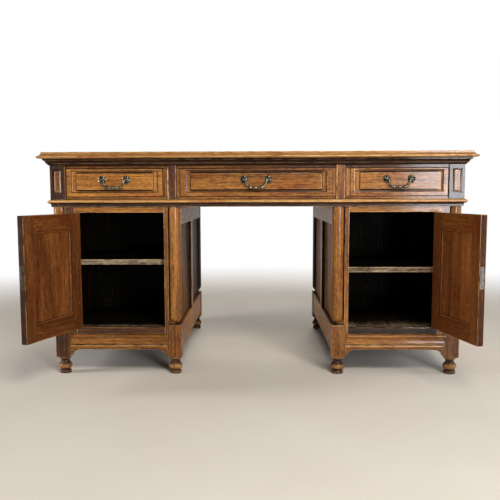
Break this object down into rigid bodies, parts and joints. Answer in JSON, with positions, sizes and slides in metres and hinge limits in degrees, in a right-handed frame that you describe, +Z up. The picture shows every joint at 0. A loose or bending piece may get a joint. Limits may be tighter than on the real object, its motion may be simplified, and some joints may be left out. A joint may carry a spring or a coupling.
{
  "type": "partners desk",
  "caption": "Oak twin-pedestal partners desk with a leather-lined top, panelled cupboards in front, frieze and pedestal drawers, and swan-neck brass handles.",
  "frame": {"origin": "on the floor, under the middle of all that the desk covers with its two doors standing open", "axes": "+X along the desk to the right of someone facing the cupboards, +Y from the cupboards to the drawers behind, +Z up"},
  "size_m": [1.5, 1.2252, 0.78],
  "materials": {
    "oak": "french polished",
    "inner_oak": "plain",
    "leather": "satin",
    "brass": "aged"
  },
  "bodies": {
    "carcass": {"top_border": "oak", "top_core": "inner_oak", "top_leather": "leather", "cornice": "oak", "frieze_frame": "oak", "frieze_blocks": "oak", "frieze_boards": "inner_oak", "waist_moulding": "oak", "posts": "oak", "feet": "oak", "runners": "inner_oak", "shelves": "inner_oak", "side_frames": "oak", "side_panels": "oak", "pedestal_boards": "inner_oak", "plinths": "oak", "face_frames": "oak", "hinge_leaves": "brass"},
    "door_left": {"door_left_frame": "oak", "door_left_panel": "oak", "door_left_brass": "brass"},
    "door_right": {"door_right_frame": "oak", "door_right_panel": "oak", "door_right_brass": "brass"},
    "front_frieze_left": {"front_frieze_left_drawer": "oak", "front_frieze_left_rosettes": "brass"},
    "front_frieze_mid": {"front_frieze_mid_drawer": "oak", "front_frieze_mid_rosettes": "brass"},
    "front_frieze_right": {"front_frieze_right_drawer": "oak", "front_frieze_right_rosettes": "brass"},
    "back_frieze_left": {"back_frieze_left_drawer": "oak", "back_frieze_left_rosettes": "brass"},
    "back_frieze_mid": {"back_frieze_mid_drawer": "oak", "back_frieze_mid_rosettes": "brass"},
    "back_frieze_right": {"back_frieze_right_drawer": "oak", "back_frieze_right_rosettes": "brass"},
    "back_left_low": {"back_left_low_drawer": "oak", "back_left_low_rosettes": "brass"},
    "back_right_low": {"back_right_low_drawer": "oak", "back_right_low_rosettes": "brass"},
    "back_left_mid": {"back_left_mid_drawer": "oak", "back_left_mid_rosettes": "brass"},
    "back_right_mid": {"back_right_mid_drawer": "oak", "back_right_mid_rosettes": "brass"},
    "back_left_top": {"back_left_top_drawer": "oak", "back_left_top_rosettes": "brass"},
    "back_right_top": {"back_right_top_drawer": "oak", "back_right_top_rosettes": "brass"},
    "front_frieze_left_handle": {"front_frieze_left_bail": "brass"},
    "front_frieze_mid_handle": {"front_frieze_mid_bail": "brass"},
    "front_frieze_right_handle": {"front_frieze_right_bail": "brass"},
    "back_frieze_left_handle": {"back_frieze_left_bail": "brass"},
    "back_frieze_mid_handle": {"back_frieze_mid_bail": "brass"},
    "back_frieze_right_handle": {"back_frieze_right_bail": "brass"},
    "back_left_low_handle": {"back_left_low_bail": "brass"},
    "back_right_low_handle": {"back_right_low_bail": "brass"},
    "back_left_mid_handle": {"back_left_mid_bail": "brass"},
    "back_right_mid_handle": {"back_right_mid_bail": "brass"},
    "back_left_top_handle": {"back_left_top_bail": "brass"},
    "back_right_top_handle": {"back_right_top_bail": "brass"}
  },
  "joints": [
    {"name": "door_left_hinge", "type": "hinge", "parent": "carcass", "child": "door_left", "pos_m": [-0.63325, -0.30536, 0.36975], "axis": [0, 0, 1], "range_deg": [-56, 109]},
    {"name": "door_right_hinge", "type": "hinge", "parent": "carcass", "child": "door_right", "pos_m": [0.63325, -0.30536, 0.36975], "axis": [0, 0, -1], "range_deg": [-63, 102]},
    {"name": "front_frieze_left_slide", "type": "slide", "parent": "carcass", "child": "front_frieze_left", "axis": [0, -1, 0], "range_m": [0, 0.3]},
    {"name": "front_frieze_mid_slide", "type": "slide", "parent": "carcass", "child": "front_frieze_mid", "axis": [0, -1, 0], "range_m": [0, 0.3]},
    {"name": "front_frieze_right_slide", "type": "slide", "parent": "carcass", "child": "front_frieze_right", "axis": [0, -1, 0], "range_m": [0, 0.3]},
    {"name": "back_frieze_left_slide", "type": "slide", "parent": "carcass", "child": "back_frieze_left", "axis": [0, 1, 0], "range_m": [0, 0.3]},
    {"name": "back_frieze_mid_slide", "type": "slide", "parent": "carcass", "child": "back_frieze_mid", "axis": [0, 1, 0], "range_m": [0, 0.3]},
    {"name": "back_frieze_right_slide", "type": "slide", "parent": "carcass", "child": "back_frieze_right", "axis": [0, 1, 0], "range_m": [0, 0.3]},
    {"name": "back_left_low_slide", "type": "slide", "parent": "carcass", "child": "back_left_low", "axis": [0, 1, 0], "range_m": [0, 0.3]},
    {"name": "back_right_low_slide", "type": "slide", "parent": "carcass", "child": "back_right_low", "axis": [0, 1, 0], "range_m": [0, 0.3]},
    {"name": "back_left_mid_slide", "type": "slide", "parent": "carcass", "child": "back_left_mid", "axis": [0, 1, 0], "range_m": [0, 0.3]},
    {"name": "back_right_mid_slide", "type": "slide", "parent": "carcass", "child": "back_right_mid", "axis": [0, 1, 0], "range_m": [0, 0.3]},
    {"name": "back_left_top_slide", "type": "slide", "parent": "carcass", "child": "back_left_top", "axis": [0, 1, 0], "range_m": [0, 0.3]},
    {"name": "back_right_top_slide", "type": "slide", "parent": "carcass", "child": "back_right_top", "axis": [0, 1, 0], "range_m": [0, 0.3]},
    {"name": "front_frieze_left_swing", "type": "hinge", "parent": "front_frieze_left", "child": "front_frieze_left_handle", "pos_m": [-0.4905, -0.31936, 0.6855], "axis": [-1, 0, 0], "range_deg": [-10, 95]},
    {"name": "front_frieze_mid_swing", "type": "hinge", "parent": "front_frieze_mid", "child": "front_frieze_mid_handle", "pos_m": [0, -0.31936, 0.6855], "axis": [-1, 0, 0], "range_deg": [-10, 95]},
    {"name": "front_frieze_right_swing", "type": "hinge", "parent": "front_frieze_right", "child": "front_frieze_right_handle", "pos_m": [0.4905, -0.31936, 0.6855], "axis": [-1, 0, 0], "range_deg": [-10, 95]},
    {"name": "back_frieze_left_swing", "type": "hinge", "parent": "back_frieze_left", "child": "back_frieze_left_handle", "pos_m": [0.4905, 0.58664, 0.6855], "axis": [1, 0, 0], "range_deg": [-10, 95]},
    {"name": "back_frieze_mid_swing", "type": "hinge", "parent": "back_frieze_mid", "child": "back_frieze_mid_handle", "pos_m": [0, 0.58664, 0.6855], "axis": [1, 0, 0], "range_deg": [-10, 95]},
    {"name": "back_frieze_right_swing", "type": "hinge", "parent": "back_frieze_right", "child": "back_frieze_right_handle", "pos_m": [-0.4905, 0.58664, 0.6855], "axis": [1, 0, 0], "range_deg": [-10, 95]},
    {"name": "back_left_low_swing", "type": "hinge", "parent": "back_left_low", "child": "back_left_low_handle", "pos_m": [0.478, 0.58664, 0.24529], "axis": [1, 0, 0], "range_deg": [-10, 95]},
    {"name": "back_right_low_swing", "type": "hinge", "parent": "back_right_low", "child": "back_right_low_handle", "pos_m": [-0.478, 0.58664, 0.24529], "axis": [1, 0, 0], "range_deg": [-10, 95]},
    {"name": "back_left_mid_swing", "type": "hinge", "parent": "back_left_mid", "child": "back_left_mid_handle", "pos_m": [0.478, 0.58664, 0.3945], "axis": [1, 0, 0], "range_deg": [-10, 95]},
    {"name": "back_right_mid_swing", "type": "hinge", "parent": "back_right_mid", "child": "back_right_mid_handle", "pos_m": [-0.478, 0.58664, 0.3945], "axis": [1, 0, 0], "range_deg": [-10, 95]},
    {"name": "back_left_top_swing", "type": "hinge", "parent": "back_left_top", "child": "back_left_top_handle", "pos_m": [0.478, 0.58664, 0.52496], "axis": [1, 0, 0], "range_deg": [-10, 95]},
    {"name": "back_right_top_swing", "type": "hinge", "parent": "back_right_top", "child": "back_right_top_handle", "pos_m": [-0.478, 0.58664, 0.52496], "axis": [1, 0, 0], "range_deg": [-10, 95]}
  ]
}
